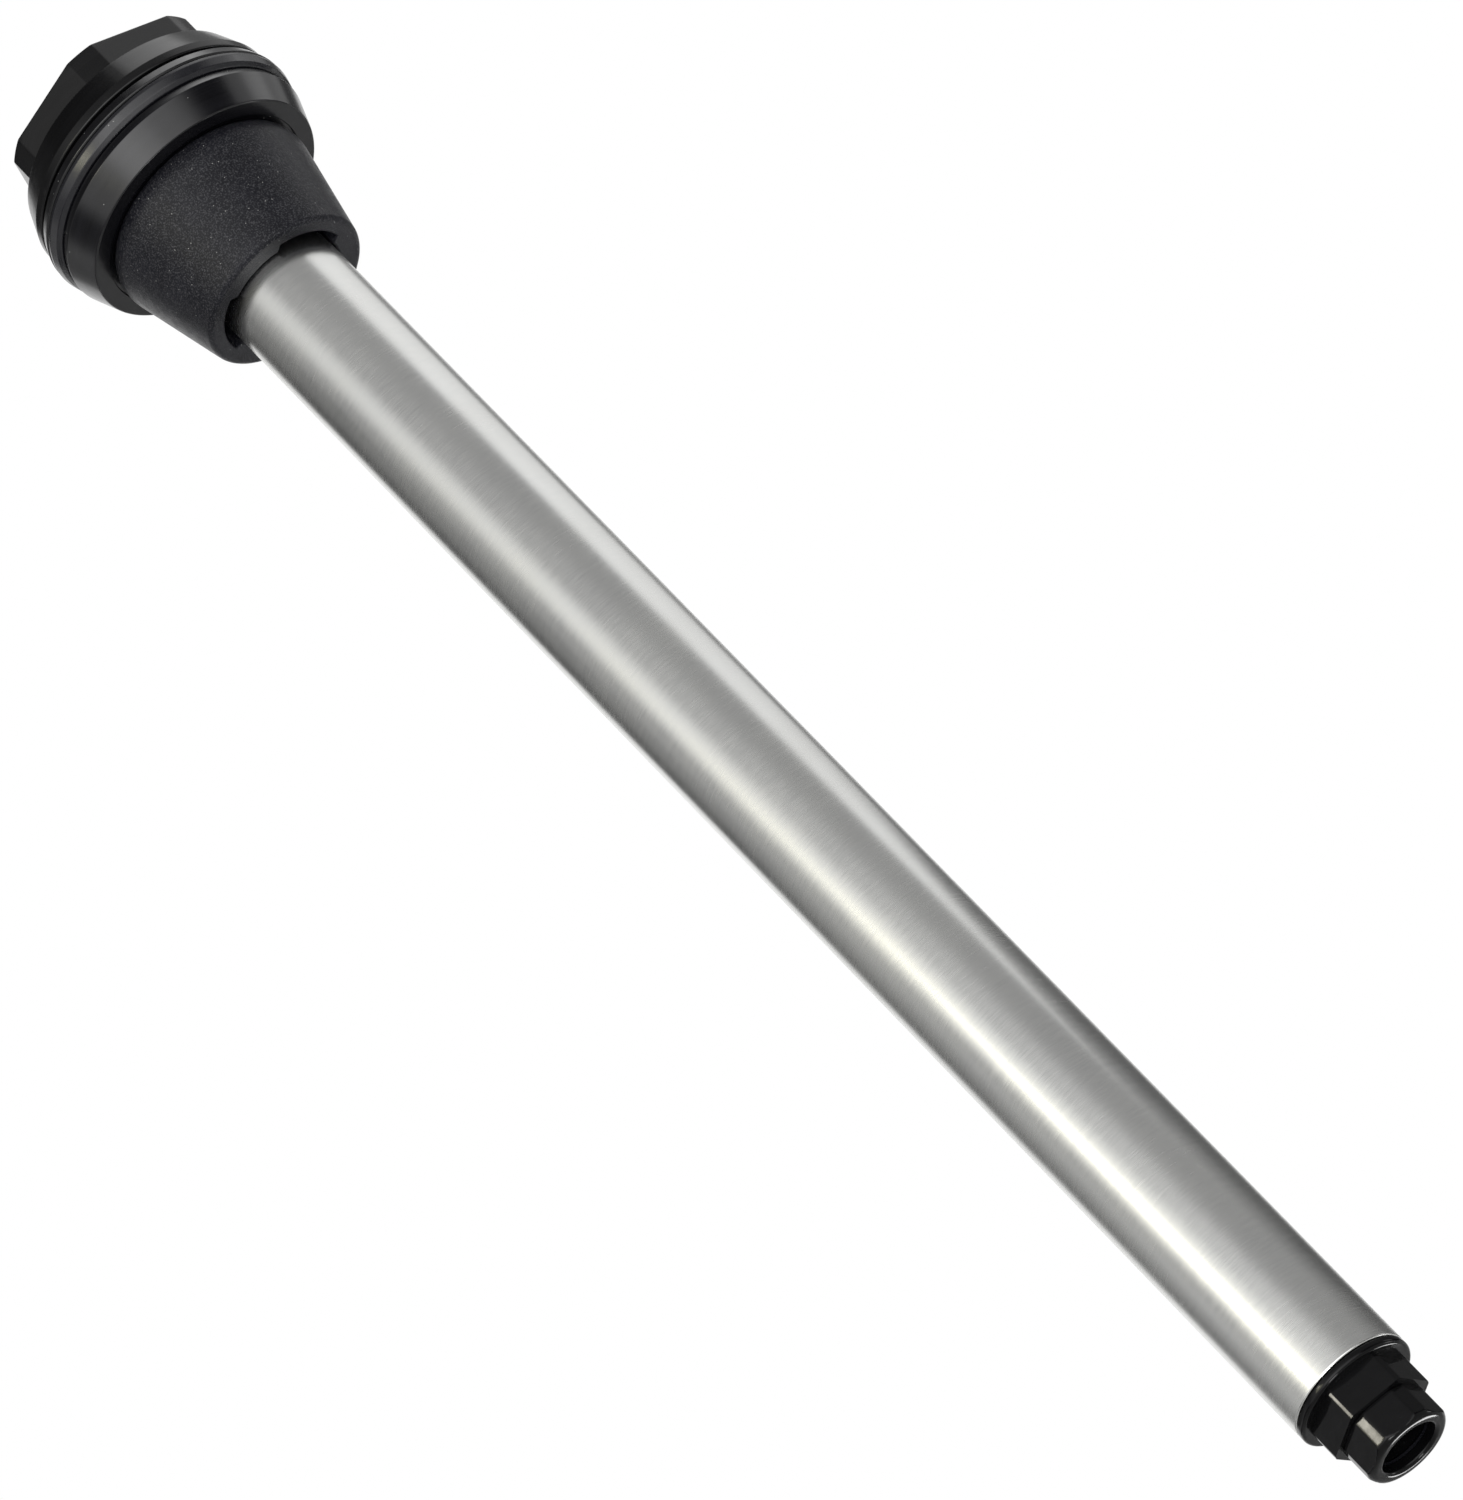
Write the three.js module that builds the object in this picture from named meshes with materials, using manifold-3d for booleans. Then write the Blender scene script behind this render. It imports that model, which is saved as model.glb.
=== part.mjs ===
// Water quality probe: a slim metal tube with a sealed screw-capped head, a tapered rubber
// stopper under the head's collar, and a hexagonal sensing tip with a removable guard nut.
// Millimetres, +Z up. The origin is on the probe's axis, in the plane of the collar's underside,
// so the head lies above z = 0 and the tube, the stopper and the tip lie below it.

import * as THREE from 'three';
import { mergeVertices } from 'three/addons/utils/BufferGeometryUtils.js';
import Module from 'manifold-3d';

const wasm = await Module();
wasm.setup();

// ---------------------------------------------------------------- driving dimensions

const TUBE_RADIUS = 12.5;
const TUBE_WALL = 1.5;
const TUBE_TOP = 12.4;            // the tube reaches this far up into the head
const TUBE_BOTTOM = -342.3;
const SEAT_GAP = 0.3;             // play left between pieces that rest on or in each other

const COLLAR_BOTTOM_RADIUS = 25.9;
const COLLAR_TOP_RADIUS = 28.1;
const COLLAR_HEIGHT = 8.1;
const COLLAR_RECESS_RADIUS = 22.5; // shallow recess in the underside that takes the stopper's top
const COLLAR_RECESS_DEPTH = 0.6;
const NECK_RADIUS = 18.7;         // crest of the neck's outside thread
const NECK_TOP = 24.4;
const CAVITY_RADIUS = 15.5;
const CAVITY_FLOOR = 10;
const SPIGOT_RADIUS = 15.9;       // the stopper is stretched over this spigot
const SPIGOT_BOTTOM = -12;

const GASKET_BOTTOM = 8.4;
const GASKET_TOP = 11.45;
const WASHER_BOTTOM = 11.75;
const WASHER_TOP = 13.9;
const RING_RADIUS = 29;

const CAP_LAND = 14.2;            // face that presses on the thrust washer
const CAP_RIM = 15.1;             // raised rim outside that face
const CAP_RIM_RADIUS = 28.05;
const CAP_SHOULDER_RADIUS = 25.8;
const CAP_SHOULDER = 22.8;
const CAP_TOP = 30.5;
const CAP_FLATS = 43.3;           // across the flats of the hexagon
const CAP_CORNER_RADIUS = 23.5;   // the hexagon's corners are turned off to this radius
const CAP_WEB_BOTTOM = 26.4;
const CAP_WINDOW_RADIUS = 13.6;
const CAP_HEX_TURN = 37.8;        // degrees from +X to a corner of the closed cap

const STOPPER_SHOULDER = -4.4;
const STOPPER_SHOULDER_RADIUS = 22.1;
const STOPPER_TOP_RADIUS = 21.4;
const STOPPER_LIP_RADIUS = 17.95;
const STOPPER_BOTTOM = -26.1;
const STOPPER_GRIP_RADIUS = 12.8; // three lobes hold the tube
const STOPPER_RELIEF_RADIUS = 14.4;
const STOPPER_LOBE_TURN = 25;     // degrees from +X to the middle of a lobe
const STOPPER_LOBE_COUNT = 3;

const TIP_RING_BOTTOM = -344.2;
const TIP_HEX_FLATS = 19;
const TIP_HEX_CORNER_RADIUS = 10.72;
const TIP_HEX_BOTTOM = -350.9;
const TIP_HEX_TURN = 11.3;        // degrees from +X to a corner of the tip's hexagon
const TIP_STUB_RADIUS = 6.7;
const TIP_STUB_BOTTOM = -355.4;
const TIP_BORE_RADIUS = 5.4;
const TIP_SPIGOT_RADIUS = 10.7;
const TIP_SPIGOT_TOP = -322;

const GUARD_FLATS = 16.6;
const GUARD_CORNER_RADIUS = 8.95;
const GUARD_BOTTOM = -358.6;
const GUARD_THREAD_RADIUS = 7;
const GUARD_FLOOR = -356.4;
const GUARD_MOUTH_RADIUS = 5.9;

const PIN_COUNT = 5;
const PIN_RADIUS = 0.75;
const PIN_CIRCLE = 4.6;
const SCREW_COUNT = 3;
const SCREW_CIRCLE = 11.4;

const HEAD_SIDES = 40;
const TIP_SIDES = 32;
const INNER_SIDES = 28;
const SMALL_SIDES = 16;

// ---------------------------------------------------------------- materials

function finish(color, roughness, metalness = 0) {
  return new THREE.MeshStandardMaterial({ color, roughness, metalness });
}

const satinSteel = finish(0xb9bab6, 0.32, 1);
const headPlastic = finish(0x1c1c1f, 0.42);
const tipPlastic = finish(0x0f0f12, 0.14);
const stopperRubber = finish(0x25262c, 0.68);
const sealRubber = finish(0x17171a, 0.6);
const washerPlastic = finish(0x1a1a1e, 0.5);
const nylon = finish(0xd8d4c8, 0.55);
const boardGreen = finish(0x1d5a37, 0.45);
const chipBlack = finish(0x18181a, 0.5);
const tinPlate = finish(0xc4c6c8, 0.3, 1);
const goldPlate = finish(0xd6ac52, 0.25, 1);
const silverWire = finish(0xd4d4d0, 0.3, 1);
const cableJacket = finish(0x33363a, 0.6);
const foam = finish(0x4a4c50, 0.95);
const electrodeGlass = finish(0xcfe4e2, 0.05);
const porousCeramic = finish(0xe6e0d2, 0.9);

// ---------------------------------------------------------------- building blocks

const radians = THREE.MathUtils.degToRad;

// Solid of revolution about Z from a closed outline of [radius, z] points.
// Points at radius 0 may only be the first and the last.
function turned(outline, sides) {
  const onAxis = outline[0][0] === 0;
  const area = outline.reduce((sum, [r, z], i) => {
    const [nextR, nextZ] = outline[(i + 1) % outline.length];
    return sum + r * nextZ - nextR * z;
  }, 0);
  const points = outline.map(([r, z]) => new THREE.Vector2(r, z));
  if (area < 0) points.reverse();
  if (!onAxis) points.push(points[0].clone());
  const geometry = new THREE.LatheGeometry(points, sides);
  geometry.rotateX(Math.PI / 2);
  geometry.rotateZ(Math.PI / 2);
  return geometry;
}

// Points of an arc in the [radius, z] plane, angles in degrees from the outward direction.
function arc(centreR, centreZ, radius, fromDegrees, toDegrees, steps) {
  return Array.from({ length: steps + 1 }, (_, i) => {
    const angle = radians(fromDegrees + ((toDegrees - fromDegrees) * i) / steps);
    return [centreR + radius * Math.cos(angle), centreZ + radius * Math.sin(angle)];
  });
}

function ring(innerRadius, outerRadius, bottom, top, sides) {
  return turned(
    [[innerRadius, bottom], [outerRadius, bottom], [outerRadius, top], [innerRadius, top]],
    sides,
  );
}

function rod(radius, bottom, top, sides) {
  return turned([[0, bottom], [radius, bottom], [radius, top], [0, top]], sides);
}

function sealRing(centreRadius, z, thickness, sides) {
  const section = arc(centreRadius, z, thickness / 2, 0, 360, 8).slice(0, -1);
  return turned(section, sides);
}

function block(sizeX, sizeY, bottom, top) {
  const geometry = new THREE.BoxGeometry(sizeX, sizeY, top - bottom);
  geometry.translate(0, 0, (bottom + top) / 2);
  return geometry;
}

// Hexagonal prism whose corners are cut square across at cornerRadius.
function hexagon(acrossFlats, cornerRadius, bottom, top, turn) {
  const halfFacet = Math.acos(acrossFlats / 2 / cornerRadius);
  const shape = new THREE.Shape();
  for (let flat = 0; flat < 6; flat++) {
    const middle = radians(turn + 30 + 60 * flat);
    for (const angle of [middle - halfFacet, middle + halfFacet]) {
      const x = cornerRadius * Math.cos(angle);
      const y = cornerRadius * Math.sin(angle);
      if (flat === 0 && angle < middle) shape.moveTo(x, y);
      else shape.lineTo(x, y);
    }
  }
  shape.closePath();
  const geometry = new THREE.ExtrudeGeometry(shape, { depth: top - bottom, bevelEnabled: false });
  geometry.translate(0, 0, bottom);
  return geometry;
}

function lead(route, radius, steps) {
  const section = new THREE.Shape().absarc(0, 0, radius, 0, 2 * Math.PI);
  const curve = new THREE.CatmullRomCurve3(route.map((point) => new THREE.Vector3(...point)));
  return new THREE.ExtrudeGeometry(section, { extrudePath: curve, steps, curveSegments: 4 });
}

function moved(geometry, x, y, z = 0) {
  geometry.translate(x, y, z);
  return geometry;
}

function around(geometry, degrees) {
  geometry.rotateZ(radians(degrees));
  return geometry;
}

function evenAngles(count, first = 0) {
  return Array.from({ length: count }, (_, i) => first + (360 * i) / count);
}

// ---------------------------------------------------------------- joining and cutting

function toSolid(geometry) {
  const bare = geometry.clone();
  for (const attribute of ['normal', 'uv']) bare.deleteAttribute(attribute);
  const merged = mergeVertices(bare, 1e-4);
  return new wasm.Manifold(
    new wasm.Mesh({
      numProp: 3,
      vertProperties: Float32Array.from(merged.attributes.position.array),
      triVerts: Uint32Array.from(merged.index.array),
    }),
  );
}

function toGeometry(solid) {
  const mesh = solid.getMesh();
  const geometry = new THREE.BufferGeometry();
  geometry.setAttribute('position', new THREE.BufferAttribute(mesh.vertProperties, 3));
  geometry.setIndex(new THREE.BufferAttribute(mesh.triVerts, 1));
  geometry.computeVertexNormals();
  return geometry;
}

function combine(base, { add = [], common = [], cut = [] }) {
  let solid = toSolid(base);
  for (const geometry of add) solid = solid.add(toSolid(geometry));
  for (const geometry of common) solid = solid.intersect(toSolid(geometry));
  for (const geometry of cut) solid = solid.subtract(toSolid(geometry));
  return toGeometry(solid);
}

const probe = new THREE.Group();

function place(name, geometry, material) {
  const mesh = new THREE.Mesh(geometry, material);
  mesh.name = name;
  probe.add(mesh);
}

// ---------------------------------------------------------------- tube and head

function makeTube() {
  const inside = TUBE_RADIUS - TUBE_WALL;
  const edge = 0.35;
  const groove = { bottom: 10.1, top: 11.4, radius: 11.9 };
  const outline = [
    [inside, TUBE_BOTTOM],
    [TUBE_RADIUS - edge, TUBE_BOTTOM],
    [TUBE_RADIUS, TUBE_BOTTOM + edge],
    [TUBE_RADIUS, groove.bottom],
    [groove.radius, groove.bottom],
    [groove.radius, groove.top],
    [TUBE_RADIUS, groove.top],
    [TUBE_RADIUS, TUBE_TOP],
    [inside, TUBE_TOP],
  ];
  place('probe_tube', turned(outline, HEAD_SIDES), satinSteel);

  // split ring in the tube's groove, resting on the floor of the head's cavity
  const clip = combine(ring(12.2, 14.6, 10.35, 11.1, INNER_SIDES), {
    cut: [moved(block(6, 5, 10, 12), 13.4, 0)],
  });
  place('tube_retaining_clip', clip, tinPlate);
}

function makeHeadBody() {
  const boreRadius = TUBE_RADIUS + SEAT_GAP;
  const sealGroove = { bottom: 1.2, top: 3.6, radius: 14.6 };
  const outline = [
    [boreRadius, SPIGOT_BOTTOM],
    [SPIGOT_RADIUS - 0.8, SPIGOT_BOTTOM],
    [SPIGOT_RADIUS, SPIGOT_BOTTOM + 1.4],
    [SPIGOT_RADIUS, COLLAR_RECESS_DEPTH],
    [COLLAR_RECESS_RADIUS, COLLAR_RECESS_DEPTH],
    [COLLAR_RECESS_RADIUS, 0],
    [COLLAR_BOTTOM_RADIUS - 0.35, 0],
    [COLLAR_BOTTOM_RADIUS, 0.35],
    [COLLAR_TOP_RADIUS, COLLAR_HEIGHT - 1.4],
    [COLLAR_TOP_RADIUS - 0.9, COLLAR_HEIGHT],
    [NECK_RADIUS, COLLAR_HEIGHT],
    [NECK_RADIUS, NECK_TOP - 0.6],
    [NECK_RADIUS - 0.6, NECK_TOP],
    [CAVITY_RADIUS, NECK_TOP],
    [CAVITY_RADIUS, CAVITY_FLOOR],
    [boreRadius, CAVITY_FLOOR],
    [boreRadius, sealGroove.top],
    [sealGroove.radius, sealGroove.top],
    [sealGroove.radius, sealGroove.bottom],
    [boreRadius, sealGroove.bottom],
  ];
  place('head_body', turned(outline, HEAD_SIDES), headPlastic);

  const sealThickness = 1.5;
  const sealZ = (sealGroove.bottom + sealGroove.top) / 2;
  const sealRadius = TUBE_RADIUS + 0.2 + sealThickness / 2;
  place('tube_seal', sealRing(sealRadius, sealZ, sealThickness, INNER_SIDES), sealRubber);
}

function makeCapSeals() {
  const inside = NECK_RADIUS + SEAT_GAP;
  const gasketBulge = (GASKET_TOP - GASKET_BOTTOM) / 2;
  const gasket = [
    [inside, GASKET_BOTTOM],
    ...arc(RING_RADIUS - gasketBulge, GASKET_BOTTOM + gasketBulge, gasketBulge, -90, 90, 6),
    [inside, GASKET_TOP],
  ];
  place('cap_gasket', turned(gasket, HEAD_SIDES), sealRubber);

  const washerBulge = (WASHER_TOP - WASHER_BOTTOM) / 2;
  const washer = [
    [inside, WASHER_BOTTOM],
    ...arc(RING_RADIUS - 0.1 - washerBulge, WASHER_BOTTOM + washerBulge, washerBulge, -90, 90, 4),
    [inside, WASHER_TOP],
  ];
  place('thrust_washer', turned(washer, HEAD_SIDES), washerPlastic);
}

function makeCapNut() {
  const threadRadius = NECK_RADIUS + SEAT_GAP;
  const rimInside = 26.9;
  const flange = [
    [threadRadius, CAP_LAND],
    [rimInside, CAP_LAND],
    [rimInside, CAP_RIM],
    [CAP_RIM_RADIUS - 0.25, CAP_RIM],
    [CAP_RIM_RADIUS, CAP_RIM + 0.25],
    [CAP_RIM_RADIUS - 0.05, CAP_RIM + 1.9],
    [CAP_SHOULDER_RADIUS, CAP_SHOULDER - 0.3],
    [CAP_SHOULDER_RADIUS - 0.3, CAP_SHOULDER],
    [threadRadius, CAP_SHOULDER],
  ];
  const hex = hexagon(CAP_FLATS, CAP_CORNER_RADIUS, CAP_LAND + 4, CAP_TOP, CAP_HEX_TURN);
  const solid = combine(hex, {
    add: [turned(flange, HEAD_SIDES)],
    cut: [
      rod(threadRadius, CAP_LAND - 1, CAP_WEB_BOTTOM, HEAD_SIDES),
      rod(CAP_WINDOW_RADIUS, CAP_WEB_BOTTOM - 1, CAP_TOP + 1, HEAD_SIDES),
    ],
  });
  place('cap_nut', solid, headPlastic);
}

// ---------------------------------------------------------------- cable inlet in the head

function makeInlet() {
  const flange = { radius: 18.2, bottom: NECK_TOP + SEAT_GAP, top: CAP_WEB_BOTTOM - SEAT_GAP };
  const bossTop = 30;
  const spigot = { radius: 15.2, bottom: 19.5, groove: 13.6, grooveBottom: 21.1, grooveTop: 23.1 };
  const socketRadius = 9.2;
  const lip = { radius: 8.2, top: 20.6 };
  const outline = [
    [lip.radius, spigot.bottom],
    [spigot.radius, spigot.bottom],
    [spigot.radius, spigot.grooveBottom],
    [spigot.groove, spigot.grooveBottom],
    [spigot.groove, spigot.grooveTop],
    [spigot.radius, spigot.grooveTop],
    [spigot.radius, flange.bottom],
    [flange.radius, flange.bottom],
    [flange.radius, flange.top],
    [CAP_WINDOW_RADIUS - 0.4, flange.top],
    [CAP_WINDOW_RADIUS - 0.4, bossTop - 0.6],
    [CAP_WINDOW_RADIUS - 1, bossTop],
    [socketRadius + 0.5, bossTop],
    [socketRadius, bossTop - 0.5],
    [socketRadius, lip.top],
    [lip.radius, lip.top],
  ];
  const standOffBottom = 18.6;
  const holeRadius = 1.3;
  const screwAngles = evenAngles(SCREW_COUNT, 90);
  const atScrews = (make) => screwAngles.map((angle) => around(moved(make(), SCREW_CIRCLE, 0), angle));
  const key = moved(block(1.6, 1.8, lip.top, bossTop - 1.5), socketRadius, 0);
  const housing = combine(turned(outline, INNER_SIDES), {
    add: [key, ...atScrews(() => rod(2.1, standOffBottom, spigot.bottom + 0.5, 12))],
    cut: atScrews(() => rod(holeRadius, standOffBottom - 1, 23.4, 12)),
  });
  place('inlet_housing', housing, headPlastic);

  const sealZ = (spigot.grooveBottom + spigot.grooveTop) / 2;
  place('inlet_seal', sealRing(14.5, sealZ, 1.4, INNER_SIDES), sealRubber);

  const pinAngles = evenAngles(PIN_COUNT, 36);
  const atPins = (make) => pinAngles.map((angle) => around(moved(make(), PIN_CIRCLE, 0), angle));
  const pinHoles = (bottom, top) => atPins(() => rod(PIN_RADIUS + 0.25, bottom, top, 10));

  const insulatorOutline = [
    [0, standOffBottom],
    [lip.radius - SEAT_GAP, standOffBottom],
    [lip.radius - SEAT_GAP, lip.top + SEAT_GAP],
    [socketRadius - SEAT_GAP, lip.top + SEAT_GAP],
    [socketRadius - SEAT_GAP, 22.4],
    [0, 22.4],
  ];
  const insulator = combine(turned(insulatorOutline, INNER_SIDES), {
    cut: [...pinHoles(18, 24), moved(block(1.6, 2.4, 18, 24), socketRadius - 0.3, 0)],
  });
  place('contact_insulator', insulator, washerPlastic);

  const pinTop = 25.2;
  const pinBottom = 15.8;
  const pinOutline = [
    [0, pinBottom],
    [PIN_RADIUS, pinBottom],
    [PIN_RADIUS, pinTop - 0.6],
    [PIN_RADIUS * 0.5, pinTop],
    [0, pinTop],
  ];
  atPins(() => turned(pinOutline, 10)).forEach((pin, i) => place(`contact_pin_${i + 1}`, pin, goldPlate));

  const board = { bottom: 17, top: 18.4, radius: 13.6 };
  const connectorBoard = combine(rod(board.radius, board.bottom, board.top, INNER_SIDES), {
    cut: [
      ...pinHoles(board.bottom - 1, board.top + 1),
      ...atScrews(() => rod(holeRadius, board.bottom - 1, board.top + 1, 12)),
    ],
  });
  place('connector_board', connectorBoard, boardGreen);

  const headTop = board.bottom - 0.1;
  const screwOutline = [
    [0, headTop - 1.3],
    [1.9, headTop - 1.3],
    [1.9, headTop],
    [1, headTop],
    [1, 22.8],
    [0, 22.8],
  ];
  atScrews(() => turned(screwOutline, 12)).forEach((screw, i) => {
    place(`board_screw_${i + 1}`, screw, tinPlate);
  });
}

// ---------------------------------------------------------------- rubber stopper

function makeStopper() {
  const socketTop = COLLAR_RECESS_DEPTH - SEAT_GAP;
  const socketRadius = SPIGOT_RADIUS + SEAT_GAP;
  const socketBottom = SPIGOT_BOTTOM - SEAT_GAP;
  const shoulder = arc(STOPPER_SHOULDER_RADIUS - 6.07, STOPPER_SHOULDER + 1.29, 6.2, -12, 28, 4);
  const lipFillet = arc(STOPPER_LIP_RADIUS - 1.25, STOPPER_BOTTOM + 1.28, 1.28, -90, -12, 3);
  const outline = [
    [STOPPER_GRIP_RADIUS, STOPPER_BOTTOM],
    ...lipFillet,
    ...shoulder,
    [STOPPER_TOP_RADIUS - 0.3, socketTop],
    [socketRadius, socketTop],
    [socketRadius, socketBottom],
    [STOPPER_GRIP_RADIUS, socketBottom],
  ];
  // a relief pocket between each two lobes, open at the stopper's lower end
  const pocketTop = socketBottom - 1.2;
  const pocketHalfAngle = 30;
  const pockets = evenAngles(STOPPER_LOBE_COUNT, STOPPER_LOBE_TURN + 60).map((angle) => {
    const shape = new THREE.Shape();
    shape.moveTo(0, 0);
    shape.absarc(0, 0, STOPPER_RELIEF_RADIUS, radians(-pocketHalfAngle), radians(pocketHalfAngle));
    shape.closePath();
    const depth = pocketTop - STOPPER_BOTTOM + 1;
    const wedge = new THREE.ExtrudeGeometry(shape, { depth, bevelEnabled: false, curveSegments: 4 });
    wedge.translate(0, 0, STOPPER_BOTTOM - 1);
    return around(wedge, angle);
  });
  place('rubber_stopper', combine(turned(outline, HEAD_SIDES), { cut: pockets }), stopperRubber);
}

// ---------------------------------------------------------------- electronics in the tube

function makeElectronics() {
  const board = { width: 17, thickness: 1.6, bottom: -104, top: -4 };
  place('main_board', block(board.width, board.thickness, board.bottom, board.top), boardGreen);

  const front = -(board.thickness / 2 + 0.05);
  const onBoard = (name, width, height, bottom, top, material, x = 0) => {
    place(name, moved(block(width, height, bottom, top), x, front - height / 2), material);
  };
  onBoard('lead_header_upper', 8, 4, -14, -7, nylon);
  onBoard('microcontroller', 7, 1.2, -40, -33, chipBlack);
  onBoard('voltage_regulator', 5, 1.6, -28, -23, chipBlack, 3);
  onBoard('amplifier_shield', 13, 3.2, -76, -54, tinPlate);
  onBoard('lead_header_lower', 8, 4, -100, -93, nylon);

  // two slotted discs hold the board in the middle of the tube
  const discRadius = TUBE_RADIUS - TUBE_WALL - SEAT_GAP;
  for (const [name, bottom] of [['board_carrier_upper', -22], ['board_carrier_lower', -88]]) {
    const disc = combine(rod(discRadius, bottom, bottom + 4, INNER_SIDES), {
      cut: [block(board.width + 0.6, board.thickness + 0.6, bottom - 1, bottom + 5)],
    });
    place(name, disc, nylon);
  }

  const upperRoute = [
    [4, 6, 16.6],
    [4, 6, 12],
    [2, 4, 4],
    [0, 0, 0.5],
    [0, -3, -3.2],
    [0, -3, -6.7],
  ];
  place('inlet_lead', lead(upperRoute, 1.3, 14), cableJacket);
  const lowerRoute = [
    [0, -3, -100.3],
    [0, -3, -106],
    [2, -1, -125],
    [0, 1, -160],
    [0, 0, -190],
    [0, 0, -210],
    [-2, 1, -245],
    [1, -1, -285],
    [0, 0, -312],
    [0, 0, -319.6],
  ];
  place('sensor_cable', lead(lowerRoute, 1.5, 34), cableJacket);
  place('cable_foam', ring(2.2, discRadius, -210, -190, INNER_SIDES), foam);
}

// ---------------------------------------------------------------- sensing tip

function makeTipAdapter() {
  const ringTop = TUBE_BOTTOM - SEAT_GAP;
  const fillet = 0.7;
  const grooveDepth = 1.9;
  const sealZs = [-334.2, -328.2];
  const grooves = sealZs.flatMap((z) => [
    [TIP_SPIGOT_RADIUS, z - 1.1],
    [TIP_SPIGOT_RADIUS - grooveDepth, z - 1.1],
    [TIP_SPIGOT_RADIUS - grooveDepth, z + 1.1],
    [TIP_SPIGOT_RADIUS, z + 1.1],
  ]);
  const outline = [
    [TIP_BORE_RADIUS, TIP_STUB_BOTTOM],
    [TIP_STUB_RADIUS - 0.4, TIP_STUB_BOTTOM],
    [TIP_STUB_RADIUS, TIP_STUB_BOTTOM + 0.4],
    [TIP_STUB_RADIUS, TIP_RING_BOTTOM],
    ...arc(TUBE_RADIUS - fillet, TIP_RING_BOTTOM + fillet, fillet, -90, 0, 3),
    [TUBE_RADIUS, ringTop],
    [TIP_SPIGOT_RADIUS, ringTop],
    ...grooves,
    [TIP_SPIGOT_RADIUS - 0.6, TIP_SPIGOT_TOP],
    [TIP_BORE_RADIUS, TIP_SPIGOT_TOP],
  ];
  const hexTop = TIP_RING_BOTTOM + 0.3;
  const hex = hexagon(TIP_HEX_FLATS, TIP_HEX_CORNER_RADIUS, TIP_HEX_BOTTOM, hexTop, TIP_HEX_TURN);
  const adapter = combine(turned(outline, TIP_SIDES), {
    add: [hex],
    cut: [rod(TIP_BORE_RADIUS, TIP_STUB_BOTTOM - 1, TIP_SPIGOT_TOP + 1, TIP_SIDES)],
  });
  place('tip_adapter', adapter, tipPlastic);
  sealZs.forEach((z, i) => {
    place(`tube_plug_seal_${i + 1}`, sealRing(9.9, z, 1.5, INNER_SIDES), sealRubber);
  });
}

function makeGuardNut() {
  const top = TIP_HEX_BOTTOM - SEAT_GAP;
  const lip = 1.45;
  const hex = hexagon(GUARD_FLATS, GUARD_CORNER_RADIUS, GUARD_BOTTOM, top, TIP_HEX_TURN);
  // the lower end is rounded over towards the mouth, and the upper end has a shallow bevel
  const envelope = [
    [0, GUARD_BOTTOM],
    ...arc(GUARD_CORNER_RADIUS - lip, GUARD_BOTTOM + lip, lip, -90, 0, 5),
    [GUARD_CORNER_RADIUS, top - 0.35],
    [GUARD_CORNER_RADIUS - 0.65, top],
    [0, top],
  ];
  const mouthEdge = 0.9;
  const bore = [
    [0, GUARD_BOTTOM - 1],
    [GUARD_MOUTH_RADIUS + mouthEdge + 0.1, GUARD_BOTTOM - 1],
    [GUARD_MOUTH_RADIUS + mouthEdge, GUARD_BOTTOM],
    ...arc(GUARD_MOUTH_RADIUS + mouthEdge, GUARD_BOTTOM + mouthEdge, mouthEdge, -110, -180, 4),
    [GUARD_MOUTH_RADIUS, GUARD_FLOOR],
    [GUARD_THREAD_RADIUS, GUARD_FLOOR],
    [GUARD_THREAD_RADIUS, top + 1],
    [0, top + 1],
  ];
  const nut = combine(hex, {
    common: [turned(envelope, TIP_SIDES)],
    cut: [turned(bore, TIP_SIDES)],
  });
  place('guard_nut', nut, tipPlastic);
  place('guard_gasket', ring(5.95, 6.7, GUARD_FLOOR + 0.2, TIP_STUB_BOTTOM - 0.3, TIP_SIDES), sealRubber);
}

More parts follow.
